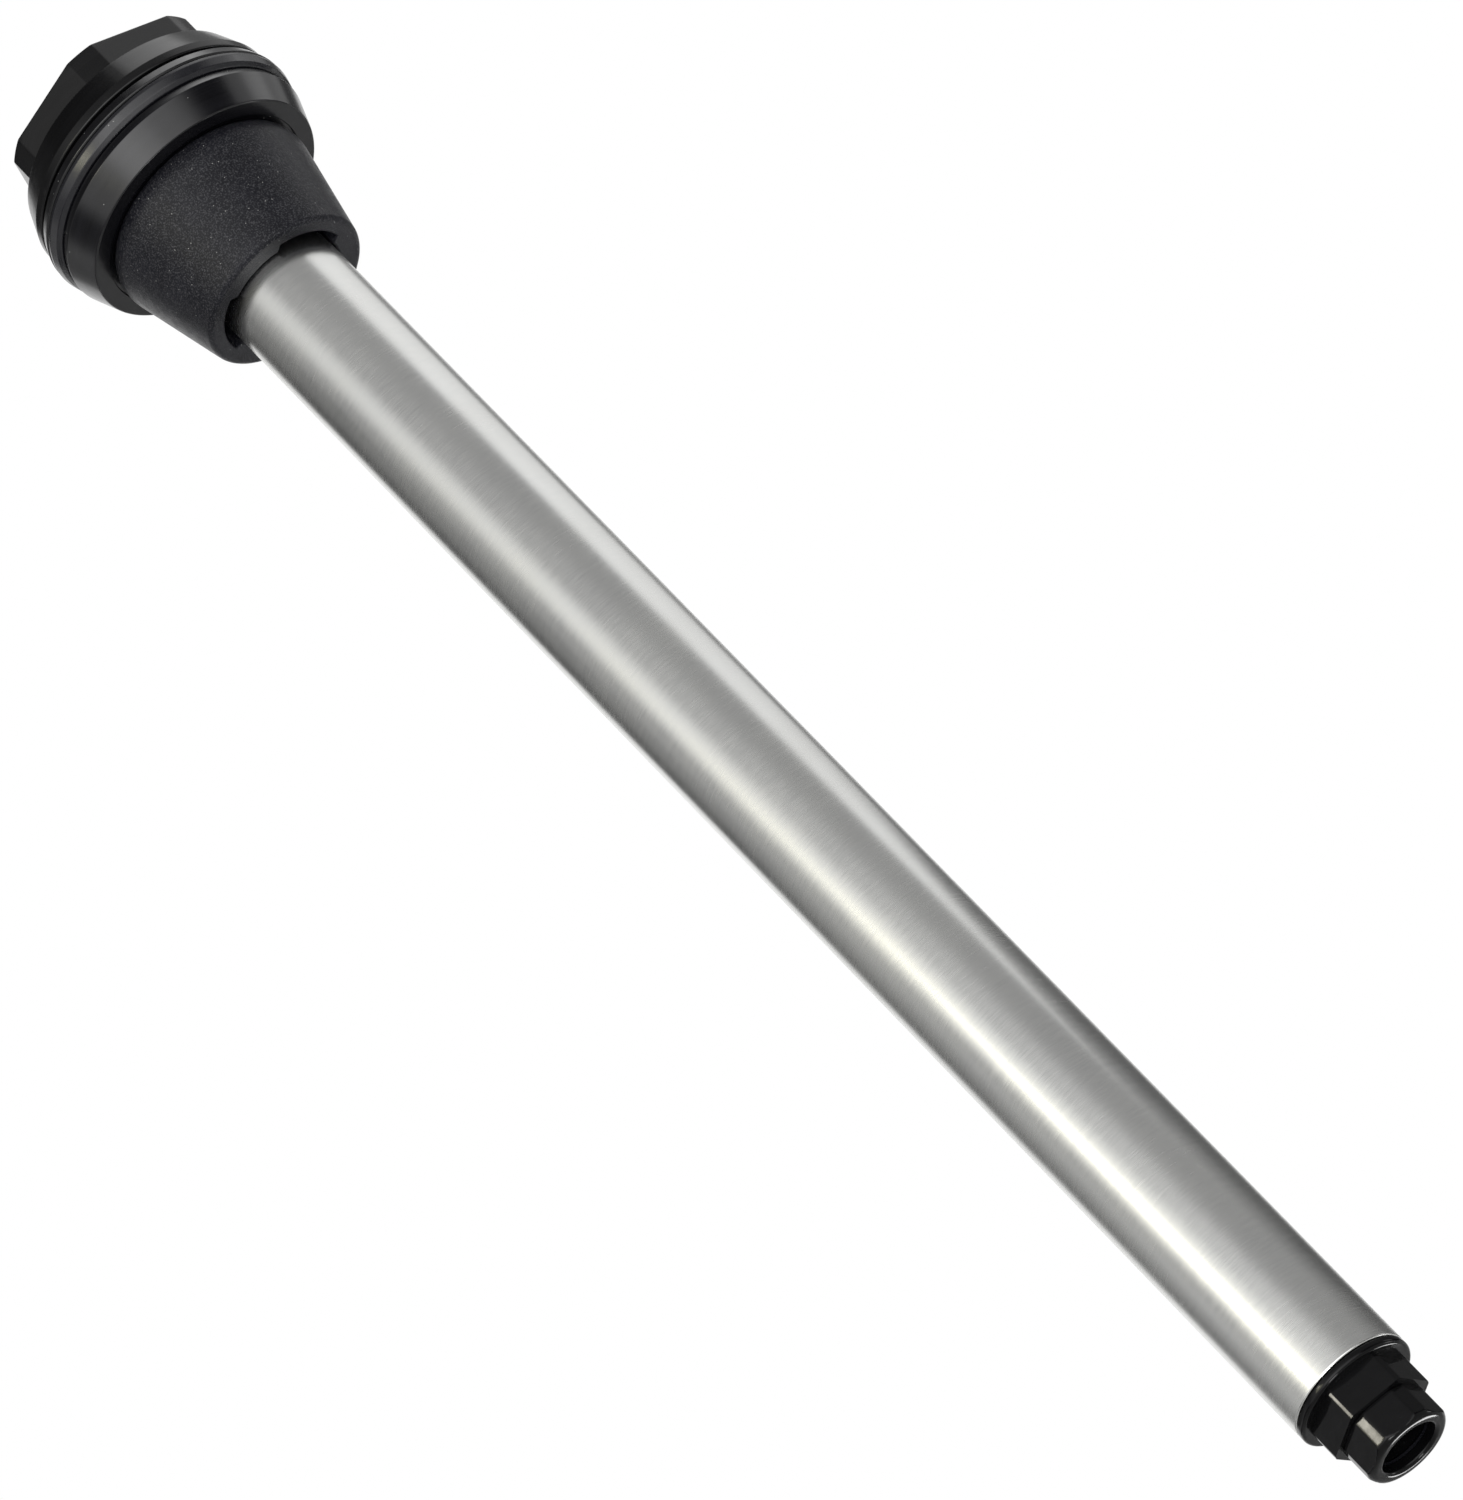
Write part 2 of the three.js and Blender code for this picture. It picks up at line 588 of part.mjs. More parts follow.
function makeSensor() {
  const carrier = { radius: TIP_BORE_RADIUS - SEAT_GAP, bottom: -348.2, top: -326 };
  const stemBore = 2.2;
  const pocket = { radius: 4.6, top: -345 };
  const seal = { z: -337, halfWidth: 0.7, floorRadius: 4.35, thickness: 0.75 };
  const thermometer = { x: 3.35, radius: 0.5, bottom: -351.5, top: -324 };
  const carrierOutline = [
    [pocket.radius, carrier.bottom],
    [carrier.radius, carrier.bottom],
    [carrier.radius, seal.z - seal.halfWidth],
    [seal.floorRadius, seal.z - seal.halfWidth],
    [seal.floorRadius, seal.z + seal.halfWidth],
    [carrier.radius, seal.z + seal.halfWidth],
    [carrier.radius, carrier.top],
    [stemBore, carrier.top],
    [stemBore, pocket.top],
    [pocket.radius, pocket.top],
  ];
  const tunnel = moved(rod(thermometer.radius + 0.2, -350, -320, 12), thermometer.x, 0);
  const carrierBody = combine(turned(carrierOutline, SMALL_SIDES), { cut: [tunnel] });
  place('sensor_carrier', carrierBody, washerPlastic);

  const sealRadius = (seal.floorRadius + TIP_BORE_RADIUS) / 2;
  place('carrier_seal', sealRing(sealRadius, seal.z, seal.thickness, SMALL_SIDES), sealRubber);

  // porous ring in the carrier's lower pocket, slit where the thermometer passes
  const slit = moved(block(4, 1.6, -350, -340), thermometer.x, 0);
  const junction = ring(2.3, 4.3, carrier.bottom + 0.2, pocket.top - 0.3, SMALL_SIDES);
  place('reference_junction', combine(junction, { cut: [slit] }), porousCeramic);

  const thermometerOutline = [
    [0, thermometer.bottom],
    [thermometer.radius * 0.6, thermometer.bottom],
    [thermometer.radius, thermometer.bottom + 0.4],
    [thermometer.radius, thermometer.top],
    [0, thermometer.top],
  ];
  place('temperature_sensor', moved(turned(thermometerOutline, 10), thermometer.x, 0), tinPlate);

  // glass stem, open at the top, with a thin bulb at its lower end
  const stem = { outside: 1.9, inside: 1.3, top: -322.5 };
  const bulb = { z: -350.3, outside: 2.4, inside: 2 };
  const outsideJoin = THREE.MathUtils.radToDeg(Math.acos(stem.outside / bulb.outside));
  const insideJoin = THREE.MathUtils.radToDeg(Math.acos(stem.inside / bulb.inside));
  const glass = [
    [0, bulb.z - bulb.outside],
    ...arc(0, bulb.z, bulb.outside, -70, outsideJoin, 6),
    [stem.outside, stem.top],
    [stem.inside, stem.top],
    ...arc(0, bulb.z, bulb.inside, insideJoin, -70, 6),
    [0, bulb.z - bulb.inside],
  ];
  place('glass_electrode', turned(glass, SMALL_SIDES), electrodeGlass);
  place('silver_electrode', rod(0.5, bulb.z, -320.4, 8), silverWire);
}

makeTube();
makeHeadBody();
makeCapSeals();
makeCapNut();
makeInlet();
makeStopper();
makeElectronics();
makeTipAdapter();
makeGuardNut();
makeSensor();

export default probe;
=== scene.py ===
"""Looks of the water quality probe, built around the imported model.

Lengths in the shape code are millimetres; every mesh is scaled to metres as it is made.
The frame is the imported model's: +Z along the tube towards the head, the origin on the axis
in the plane of the collar's underside.
"""

import math

import bmesh
import bpy
from mathutils import Matrix, Vector


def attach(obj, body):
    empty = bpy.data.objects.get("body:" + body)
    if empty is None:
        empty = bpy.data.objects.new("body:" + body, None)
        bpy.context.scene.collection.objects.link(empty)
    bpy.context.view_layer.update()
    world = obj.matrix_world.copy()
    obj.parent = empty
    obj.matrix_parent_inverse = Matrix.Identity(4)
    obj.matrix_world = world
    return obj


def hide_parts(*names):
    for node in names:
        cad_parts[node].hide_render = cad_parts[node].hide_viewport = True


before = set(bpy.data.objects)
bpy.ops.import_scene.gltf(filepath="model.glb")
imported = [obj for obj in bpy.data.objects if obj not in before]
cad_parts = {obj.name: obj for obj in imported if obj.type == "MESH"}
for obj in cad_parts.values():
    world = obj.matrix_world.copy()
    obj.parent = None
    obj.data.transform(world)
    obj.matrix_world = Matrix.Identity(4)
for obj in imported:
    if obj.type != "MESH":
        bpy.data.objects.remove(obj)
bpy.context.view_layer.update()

MM = 0.001
TURN = 2 * math.pi
SHARP_DEGREES = 40           # an edge bent by more than this stays sharp

# ------------------------------------------------------------------ dimensions

TUBE_RADIUS = 12.5
TUBE_INSIDE = 11.0
TUBE_TOP = 12.4
TUBE_BOTTOM = -342.3

COLLAR_BOTTOM_RADIUS = 25.9
COLLAR_TOP_RADIUS = 28.1
COLLAR_HEIGHT = 8.1
RECESS_RADIUS = 22.5         # shallow recess that takes the stopper's top
RECESS_DEPTH = 0.6
NECK_RADIUS = 18.7
NECK_TOP = 24.4
NECK_THREAD = (9.3, 23.9)    # its lowest and highest point
CAVITY_RADIUS = 15.5
CAVITY_BOTTOM = 10.0
SPIGOT_RADIUS = 15.9
SPIGOT_BOTTOM = -12.0

GASKET_BOTTOM = 8.3
GASKET_TOP = 11.6
WASHER_BOTTOM = 11.66
WASHER_TOP = 14.15

CAP_BORE = 19.0
CAP_LAND = 14.25             # underside, which bears on the washer
CAP_RIM = 14.75              # lower edge of the flange, outside the land
CAP_SHOULDER = 22.8
CAP_TOP = 30.5
CAP_WEB = 26.4               # top of the bore
CAP_WINDOW = 13.6            # radius of the opening in the top
CAP_FLATS = 43.3
CAP_CORNER = 23.5            # radius to which the corners are turned down
CAP_TURN = 37.8              # degrees from +X to a corner
CAP_PITCH = 3.0
CAP_THREAD_DEPTH = 0.85
CAP_EDGE = 0.35              # rounding of the cap's top edge

STOPPER_BOTTOM = -26.1
STOPPER_GRIP = 12.8          # radius inside the lobes
STOPPER_RELIEF = 14.4        # radius of the pockets between them
STOPPER_LOBE_TURN = 22.5     # degrees from +X to the middle of a lobe

TIP_RING_BOTTOM = -344.2
TIP_HEX_FLATS = 19.0
TIP_HEX_CORNER = 10.72       # from the axis to the edges beside each cut corner
TIP_HEX_BOTTOM = -350.9
TIP_TURN = 11.3              # degrees from +X to a corner, on both tip hexagons
STUB_RADIUS = 6.7
STUB_BOTTOM = -355.4
TIP_BORE = 5.4
PLUG_RADIUS = 10.7           # the plug is the part inside the tube
PLUG_TOP = -322.0

GUARD_FLATS = 16.6
GUARD_CORNER = 8.95          # from the axis to the edges beside each cut corner
GUARD_TOP = -350.98
GUARD_BOTTOM = -358.6
GUARD_BORE = 7.0
GUARD_FLOOR = -356.4         # ledge between the threaded bore and the mouth
GUARD_MOUTH = 5.9
GUARD_PITCH = 1.5
GUARD_THREAD_DEPTH = 0.42

# ------------------------------------------------------------------ mesh building


def fillet(corners, steps=5, closed=True):
    """Outline of (radius, z) points from corners (radius, z) or (radius, z, rounding)."""
    outline = []
    count = len(corners)
    for i, corner in enumerate(corners):
        here = Vector(corner[:2])
        rounding = corner[2] if len(corner) > 2 else 0
        at_end = not closed and i in (0, count - 1)
        if rounding == 0 or at_end:
            outline.append(tuple(here))
            continue
        back = (Vector(corners[i - 1][:2]) - here).normalized()
        ahead = (Vector(corners[(i + 1) % count][:2]) - here).normalized()
        half = back.angle(ahead) / 2
        reach = rounding / math.tan(half)
        centre = here + (back + ahead).normalized() * (rounding / math.sin(half))
        start = here + back * reach - centre
        sweep = (here + ahead * reach - centre).angle_signed(start)
        for step in range(steps + 1):
            outline.append(tuple(centre + Matrix.Rotation(sweep * step / steps, 2) @ start))
    return outline


def arc(centre_r, centre_z, radius, start, end, steps):
    """Points of an arc, angles in degrees from the outward direction."""
    angles = [math.radians(start + (end - start) * i / steps) for i in range(steps + 1)]
    return [(centre_r + radius * math.cos(a), centre_z + radius * math.sin(a)) for a in angles]


def split(outline, longest, closed=True):
    """Adds points so that no straight stretch of the outline is longer than longest."""
    finer = []
    ends = outline[1:] + outline[:1] if closed else outline[1:]
    for (r0, z0), (r1, z1) in zip(outline, ends):
        pieces = max(1, math.ceil(math.hypot(r1 - r0, z1 - z0) / longest))
        for i in range(pieces):
            t = i / pieces
            finer.append((r0 + (r1 - r0) * t, z0 + (z1 - z0) * t))
    if not closed:
        finer.append(outline[-1])
    return finer


def even_angles(count):
    """Evenly spaced angles of a whole turn."""
    return [TURN * i / count for i in range(count)]


def revolve(name, outline, angles, shape=None):
    """Ring-shaped body from a closed outline taken round the Z axis.

    shape(angle, radius, z) gives the radius for a body that isn't round.
    """
    mesh = bmesh.new()
    rings = []
    for radius, z in outline:
        ring = []
        for angle in angles:
            r = shape(angle, radius, z) if shape else radius
            point = Vector((r * math.cos(angle), r * math.sin(angle), z)) * MM
            ring.append(mesh.verts.new(point))
        rings.append(ring)
    count = len(angles)
    for one, other in zip(rings, rings[1:] + rings[:1]):
        for i in range(count):
            j = (i + 1) % count
            mesh.faces.new((one[i], one[j], other[j], other[i]))
    return finished_object(name, mesh)


def finished_object(name, mesh):
    """Object from a bmesh, smooth except at sharp edges, with face-weighted normals."""
    bmesh.ops.recalc_face_normals(mesh, faces=mesh.faces)
    for face in mesh.faces:
        face.smooth = True
    for edge in mesh.edges:
        edge.smooth = edge.calc_face_angle(0) < math.radians(SHARP_DEGREES)
    data = bpy.data.meshes.new(name)
    mesh.to_mesh(data)
    mesh.free()
    obj = bpy.data.objects.new(name, data)
    bpy.context.scene.collection.objects.link(obj)
    weighted = obj.modifiers.new("face_weighted_normals", "WEIGHTED_NORMAL")
    weighted.keep_sharp = True
    return obj


def corner_reach(flats, corner):
    """Degrees from a corner's middle to where the flats come out to the distance corner."""
    return 30 - math.degrees(math.acos(flats / 2 / corner))


def hexagon_radius(angle, flats, corner, turn, softness, flat_cut=False):
    """Distance from the axis to a hexagon with cut corners, its edges softly rounded.

    corner is the distance to the middle of each corner's cut. The cut is round about the
    axis, or plane if flat_cut is set.
    """
    sector = (math.degrees(angle) - turn) % 60
    from_corner = math.radians(min(sector, 60 - sector))
    to_flat = flats / 2 / math.cos(math.radians(30) - from_corner)
    to_corner = corner / math.cos(from_corner) if flat_cut else corner
    nearest = min(to_flat, to_corner)
    gap = abs(to_flat - to_corner)
    return nearest - softness * math.log1p(math.exp(-gap / softness))


def hexagon_angles(turn, edge_degrees):
    """Angles round a hexagon, close together at the edges beside each corner."""
    coarse = 2.5
    clearance = 0.8
    offsets = [-1.6, -1.0, -0.6, -0.35, -0.15, 0, 0.15, 0.35, 0.6, 1.0, 1.6]
    marks = set()
    for corner in range(6):
        middle = turn + 60 * corner
        edges = (middle - edge_degrees, middle + edge_degrees)
        fine = [edge + offset for edge in edges for offset in offsets]
        marks.update(round(mark % 360, 4) for mark in fine)
        for i in range(int(60 / coarse)):
            mark = middle + i * coarse
            if all(abs((mark - other + 180) % 360 - 180) > clearance for other in fine):
                marks.add(round(mark % 360, 4))
    return [math.radians(mark) for mark in sorted(marks)]


def thread_height(angle, z, pitch, shift=0.0):
    """Height from 0 in the root to 1 on the crest of a right-handed thread.

    A nut's thread is shifted by half a pitch, so that its crests lie in the other's roots.
    """
    flank = 0.22
    half_crest = 0.18
    phase = (z / pitch - angle / TURN + shift) % 1
    from_crest = abs(phase - 0.5)
    return min(1, max(0, (half_crest + flank - from_crest) / flank))


def at(length, level):
    """True where two lengths are the same apart from rounding."""
    return abs(length - level) < 0.01


def fade(value, start, full):
    """0 at start, 1 at full, smooth between; start may be above full."""
    t = min(1, max(0, (value - start) / (full - start)))
    return t * t * (3 - 2 * t)


# ------------------------------------------------------------------ materials

DUST_CELLS = 900             # cells in a metre, each of which may hold a speck
DUST_SIZE = 0.09             # radius of a speck, in cells
DUST_ROUGHNESS = 0.8


class Surface:
    """A Principled material with helpers for the textures that feed it.

    Texture scales are per metre.
    """

    def __init__(self, name, metallic=0.0, **constants):
        self.material = bpy.data.materials.new(name)
        self.material.use_nodes = True
        self.tree = self.material.node_tree
        self.shader = self.tree.nodes["Principled BSDF"]
        self.shader.inputs["Metallic"].default_value = metallic
        for socket, value in constants.items():
            self.shader.inputs[socket.replace("_", " ")].default_value = value
        self.place = self.tree.nodes.new("ShaderNodeTexCoord").outputs["Object"]

    def node(self, kind, inputs=None, **settings):
        node = self.tree.nodes.new("ShaderNode" + kind)
        for key, value in settings.items():
            setattr(node, key, value)
        for key, value in (inputs or {}).items():
            if isinstance(value, bpy.types.NodeSocket):
                self.tree.links.new(value, node.inputs[key])
            else:
                node.inputs[key].default_value = value
        return node

    def link(self, output, socket):
        self.tree.links.new(output, self.shader.inputs[socket])

    def math(self, operation, first, second=0.0):
        return self.node("Math", {0: first, 1: second}, operation=operation).outputs[0]

    def ring_place(self, across, along):
        """Coordinates in which noise makes marks that run round the part's axis.

        across scales x and y. along scales z and also the radius, so that flat ends get
        rings too.
        """
        x, y, z = self.node("SeparateXYZ", {0: self.place}).outputs
        x_squared = self.math("MULTIPLY", x, x)
        y_squared = self.math("MULTIPLY", y, y)
        radius = self.math("SQRT", self.math("ADD", x_squared, y_squared))
        down = self.math("MULTIPLY", z, along)
        outward = self.math("MULTIPLY", radius, along)
        return self.node("CombineXYZ", {
            0: self.math("MULTIPLY", x, across),
            1: self.math("MULTIPLY", y, across),
            2: self.math("ADD", down, outward),
        }).outputs[0]

    def noise(self, scale, detail=4.0, place=None):
        return self.node("TexNoise", {
            "Vector": place or self.place, "Scale": scale, "Detail": detail,
        }).outputs["Fac"]

    def spread(self, value, low, high, from_low=0.3, from_high=0.7):
        """Maps a texture's usual range onto low..high."""
        return self.node("MapRange", {
            "Value": value, "From Min": from_low, "From Max": from_high,
            "To Min": low, "To Max": high,
        }).outputs[0]

    def mix(self, factor, first, second):
        # a Mix node's factor, colour inputs and colour output go by these numbers
        mixed = self.node("Mix", data_type="RGBA")
        for index, value in ((0, factor), (6, first), (7, second)):
            if isinstance(value, bpy.types.NodeSocket):
                self.tree.links.new(value, mixed.inputs[index])
            else:
                mixed.inputs[index].default_value = value
        return mixed.outputs[2]

    def dusty(self, colour, roughness, share, dust_colour):
        """Colour and roughness with dust on them. share is the part of the cells with a speck."""
        cells = self.node("TexVoronoi", {"Vector": self.place, "Scale": DUST_CELLS})
        near = self.math("LESS_THAN", cells.outputs["Distance"], DUST_SIZE)
        lot = self.node("SeparateColor", {0: cells.outputs["Color"]}).outputs[0]
        speck = self.math("MULTIPLY", near, self.math("LESS_THAN", lot, share))
        rough_speck = self.math("MULTIPLY", speck, DUST_ROUGHNESS)
        return self.mix(speck, colour, dust_colour), self.math("MAXIMUM", roughness, rough_speck)

    def bump(self, height, distance, below=None):
        """Normal over a height texture; below is the normal of a coarser bump under it."""
        inputs = {"Height": height, "Distance": distance}
        if below:
            inputs["Normal"] = below
        return self.node("Bump", inputs).outputs[0]


def grey(value, blue=1.0):
    """Grey whose blue is multiplied by that much: below 1 is warm, above 1 cold."""
    return (value, value, value * blue, 1)


def moulded(name, dark, light, rough, grain_mm, grain_height_mm, dust=0.0, painted_sparkle=0.0,
            **constants):
    """Moulded plastic or rubber: mottled colour, uneven gloss, fine grain and some dust.

    The grey on the tops of the grain is painted sparkle, standing in for glints of light on the grain.
    """
    s = Surface(name, **constants)
    grain = s.noise(1 / (grain_mm * MM), detail=5)
    mottle = s.spread(s.noise(140), 0, 1)
    colour = s.mix(mottle, dark, light)
    if painted_sparkle:
        # painted sparkle: grey mixed onto the grain tops in place of glints of light
        colour = s.mix(s.spread(grain, 0, 1, from_low=0.48, from_high=0.72), colour, grey(painted_sparkle, 1.1))
    roughness = s.spread(s.noise(420), rough[0], rough[1])
    if dust:
        colour, roughness = s.dusty(colour, roughness, dust, grey(0.32, 0.98))
    s.link(colour, "Base Color")
    s.link(roughness, "Roughness")
    soft = s.bump(s.noise(300, detail=2), 0.02 * MM)
    s.link(s.bump(grain, grain_height_mm * MM, below=soft), "Normal")
    return s.material


def turned_plastic(name, dark, light, rough, line_height_mm, dust=0.0, **constants):
    """Machined black plastic with faint lines left by the lathe."""
    s = Surface(name, **constants)
    lines = s.noise(1, detail=3, place=s.ring_place(across=30, along=5200))
    broad = s.noise(1, detail=2, place=s.ring_place(across=60, along=420))
    colour = s.mix(s.spread(broad, 0, 1), dark, light)
    roughness = s.spread(lines, rough[0], rough[1])
    if dust:
        colour, roughness = s.dusty(colour, roughness, dust, grey(0.3, 0.98))
    s.link(colour, "Base Color")
    s.link(roughness, "Roughness")
    fine = s.bump(lines, line_height_mm * MM)
    s.link(s.bump(s.noise(240, detail=2), 0.015 * MM, below=fine), "Normal")
    return s.material


def ground_steel(name):
    """Satin tube: fine marks round it from centreless grinding, and a faint orange peel."""
    s = Surface(name, metallic=1.0, Anisotropic=0.45)
    marks = s.noise(1, detail=6, place=s.ring_place(across=260, along=3400))
    waves = s.noise(1, detail=3, place=s.ring_place(across=420, along=900))
    smudge = s.noise(38, detail=3)
    colour = s.mix(s.spread(marks, 0, 1), (0.68, 0.685, 0.675, 1), (0.73, 0.73, 0.715, 1))
    s.link(s.mix(s.spread(smudge, 0, 0.5), colour, (0.69, 0.69, 0.665, 1)), "Base Color")
    roughness = s.math("ADD", s.spread(marks, 0.225, 0.275), s.spread(smudge, -0.02, 0.03))
    s.link(roughness, "Roughness")
    tangent = s.node("Tangent", direction_type="RADIAL", axis="Z").outputs[0]
    s.link(tangent, "Tangent")
    peel = s.bump(waves, 0.004 * MM)
    s.link(s.bump(marks, 0.0016 * MM, below=peel), "Normal")
    return s.material


def plated(name, colour, worn, rough):
    """Metal plating, duller where it is worn."""
    s = Surface(name, metallic=1.0)
    wear = s.noise(900, detail=5)
    worn_share = s.spread(wear, 0, 1, from_low=0.4, from_high=0.75)
    s.link(s.mix(worn_share, colour, worn), "Base Color")
    s.link(s.spread(wear, rough[0], rough[1]), "Roughness")
    s.link(s.bump(s.noise(2600), 0.004 * MM), "Normal")
    return s.material


def circuit_board(name):
    """Green solder mask with faint copper tracks showing through it."""
    s = Surface(name, Coat_Weight=0.5, Coat_Roughness=0.2)
    tracks = s.node("TexBrick", {
        "Vector": s.place, "Scale": 260.0, "Mortar Size": 0.03,
        "Color1": (0.012, 0.09, 0.045, 1), "Color2": (0.012, 0.105, 0.05, 1),
        "Mortar": (0.03, 0.2, 0.09, 1),
    })
    s.link(s.mix(s.spread(s.noise(300), 0, 0.4), tracks.outputs["Color"],
                 (0.01, 0.07, 0.035, 1)), "Base Color")
    s.link(s.spread(s.noise(700), 0.35, 0.55), "Roughness")
    s.link(s.bump(tracks.outputs["Fac"], 0.03 * MM), "Normal")
    return s.material


def clear_glass(name):
    """Thin electrode glass, slightly green."""
    s = Surface(name, Transmission_Weight=1.0, IOR=1.5)
    s.link(s.mix(s.spread(s.noise(300), 0, 1), (0.86, 0.95, 0.93, 1), (0.93, 0.98, 0.97, 1)),
           "Base Color")
    s.link(s.spread(s.noise(500), 0.01, 0.06), "Roughness")
    s.link(s.bump(s.noise(400, detail=2), 0.01 * MM), "Normal")
    return s.material


MATERIALS = {
    "satin_steel": ground_steel("ground_steel"),
    "head_plastic": turned_plastic(
        "turned_black", grey(0.003, 1.3), grey(0.0055, 1.3), rough=(0.16, 0.25),
        line_height_mm=0.003, dust=0.06),
    "cap_plastic": turned_plastic(
        "cap_black", grey(0.003, 1.1), grey(0.005, 1.1), rough=(0.18, 0.27),
        line_height_mm=0.003, dust=0.03, Specular_IOR_Level=0.32),
    "tip_plastic": moulded(
        "glossy_black", grey(0.0025, 1.1), grey(0.004, 1.1), rough=(0.07, 0.14),
        grain_mm=0.5, grain_height_mm=0.002, Specular_IOR_Level=0.2),
    # the stopper's grain carries painted sparkle, grey on its tops for glints of light
    "stopper_rubber": moulded(
        "stopper_rubber", (0.003, 0.0032, 0.0055, 1), (0.006, 0.0063, 0.01, 1), rough=(0.3, 0.4),
        grain_mm=0.3, grain_height_mm=0.11, dust=0.34, painted_sparkle=0.055, Specular_IOR_Level=0.19),
    "seal_rubber": moulded(
        "seal_rubber", (0.007, 0.0072, 0.0095, 1), (0.011, 0.011, 0.014, 1), rough=(0.2, 0.3),
        grain_mm=0.22, grain_height_mm=0.006, dust=0.15),
    "washer_plastic": moulded(
        "washer_plastic", grey(0.005, 1.15), grey(0.009, 1.15), rough=(0.18, 0.28),
        grain_mm=0.3, grain_height_mm=0.005, dust=0.15),
    "nylon": moulded(
        "nylon", grey(0.6, 0.92), grey(0.7, 0.92), rough=(0.45, 0.6),
        grain_mm=0.3, grain_height_mm=0.01),
    "chip_black": moulded(
        "chip_black", grey(0.01), grey(0.016), rough=(0.45, 0.6),
        grain_mm=0.15, grain_height_mm=0.01),
    "cable_jacket": moulded(
        "cable_jacket", grey(0.022, 1.05), grey(0.032, 1.05), rough=(0.45, 0.6),
        grain_mm=0.3, grain_height_mm=0.012),
    "foam": moulded(
        "foam", grey(0.04), grey(0.09), rough=(0.85, 1.0),
        grain_mm=0.7, grain_height_mm=0.25),
    "porous_ceramic": moulded(
        "porous_ceramic", grey(0.62, 0.9), grey(0.78, 0.92), rough=(0.8, 0.95),
        grain_mm=0.12, grain_height_mm=0.05),
    "board_green": circuit_board("solder_mask"),
    "tin_plate": plated("tin_plate", grey(0.62), grey(0.48), rough=(0.24, 0.4)),
    "gold_plate": plated(
        "gold_plate", (0.83, 0.6, 0.22, 1), (0.7, 0.48, 0.18, 1), rough=(0.16, 0.3)),
    "silver_wire": plated("silver_wire", grey(0.8), grey(0.55), rough=(0.2, 0.4)),
    "electrode_glass": clear_glass("electrode_glass"),
}


def stand_for(obj, body, node, slot, material=None):
    """The finished piece takes the place of a CAD node and moves with its body.

    Its material is the one named like the record's slot, unless another is named.
    """
    obj.data.materials.append(MATERIALS[material or slot])
    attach(obj, body)
    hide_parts(node)


# ------------------------------------------------------------------ tube and head


def make_tube():
    """Steel tube with the groove for its retaining clip near the top."""
    groove_bottom = 10.1
    groove_top = 11.4
    groove_radius = 11.9
    outline = fillet([
        (TUBE_INSIDE, TUBE_BOTTOM, 0.2),
        (TUBE_RADIUS, TUBE_BOTTOM, 0.42),
        (TUBE_RADIUS, groove_bottom),
        (groove_radius, groove_bottom),
        (groove_radius, groove_top),
        (TUBE_RADIUS, groove_top),
        (TUBE_RADIUS, TUBE_TOP, 0.3),
        (TUBE_INSIDE, TUBE_TOP, 0.2),
    ])
    tube = revolve("steel_tube", split(outline, longest=30), even_angles(192))
    stand_for(tube, "probe", "probe_tube", "satin_steel")


def make_collar():
    """Collar with its spigot, threaded neck, cavity and the groove of the tube's seal."""
    bore = TUBE_RADIUS + 0.3
    seal_bottom = 1.2
    seal_top = 3.6
    seal_radius = 14.6
    thread_bottom, thread_top = NECK_THREAD
    lower = fillet([
        (bore, SPIGOT_BOTTOM, 0.2),
        (SPIGOT_RADIUS, SPIGOT_BOTTOM, 0.8),
        (SPIGOT_RADIUS, RECESS_DEPTH),
        (RECESS_RADIUS, RECESS_DEPTH),
        (RECESS_RADIUS, 0, 0.15),
        (COLLAR_BOTTOM_RADIUS, 0, 0.45),
        (COLLAR_TOP_RADIUS - 0.02, COLLAR_HEIGHT - 1.8, 0.3),
        (COLLAR_TOP_RADIUS - 0.45, COLLAR_HEIGHT - 0.05, 0.25),
        (COLLAR_TOP_RADIUS - 1.5, COLLAR_HEIGHT),
        (NECK_RADIUS - 0.6, COLLAR_HEIGHT, 0.4),
    ], closed=False)
    thread = split([(NECK_RADIUS, thread_bottom), (NECK_RADIUS, thread_top)], 0.22, closed=False)
    upper = [
        (NECK_RADIUS - 0.5, NECK_TOP),
        (CAVITY_RADIUS, NECK_TOP),
        (CAVITY_RADIUS, CAVITY_BOTTOM),
        (bore, CAVITY_BOTTOM),
        (bore, seal_top),
        (seal_radius, seal_top),
        (seal_radius, seal_bottom),
        (bore, seal_bottom),
    ]

    def neck(angle, radius, z):
        if not at(radius, NECK_RADIUS) or not thread_bottom - 0.1 < z < thread_top + 0.1:
            return radius
        whole = fade(z, thread_bottom, thread_bottom + 1.2) * fade(z, thread_top, thread_top - 1.1)
        height = thread_height(angle, z, CAP_PITCH)
        return radius - CAP_THREAD_DEPTH * (1 - height * whole)

    collar = revolve("collar_body", lower + thread + upper, even_angles(144), neck)
    stand_for(collar, "probe", "head_body", "head_plastic")


def make_sealing_rings():
    """The wide rubber gasket with its full bulge, and the narrow hard washer on it."""
    inside = NECK_RADIUS + 0.3
    gasket = fillet([
        (inside, GASKET_BOTTOM, 0.1),
        (27.9, GASKET_BOTTOM, 0.4),
        (28.55, 9.1, 0.7),
        (28.95, 10.7, 0.7),
        (28.85, 11.4, 0.2),
        (28.3, GASKET_TOP, 0.1),
        (inside, GASKET_TOP, 0.1),
    ], steps=7)
    ring = revolve("sealing_ring", gasket, even_angles(160))
    stand_for(ring, "probe", "cap_gasket", "seal_rubber")

    washer = fillet([
        (inside, WASHER_BOTTOM, 0.15),
        (28.55, WASHER_BOTTOM, 0.3),
        (28.9, 12.0, 0.3),
        (28.25, 13.9, 0.35),
        (27.6, WASHER_TOP, 0.2),
        (inside, WASHER_TOP, 0.15),
    ], steps=8)
    ring = revolve("thrust_ring", washer, even_angles(160))
    stand_for(ring, "cap_thread", "thrust_washer", "washer_plastic")


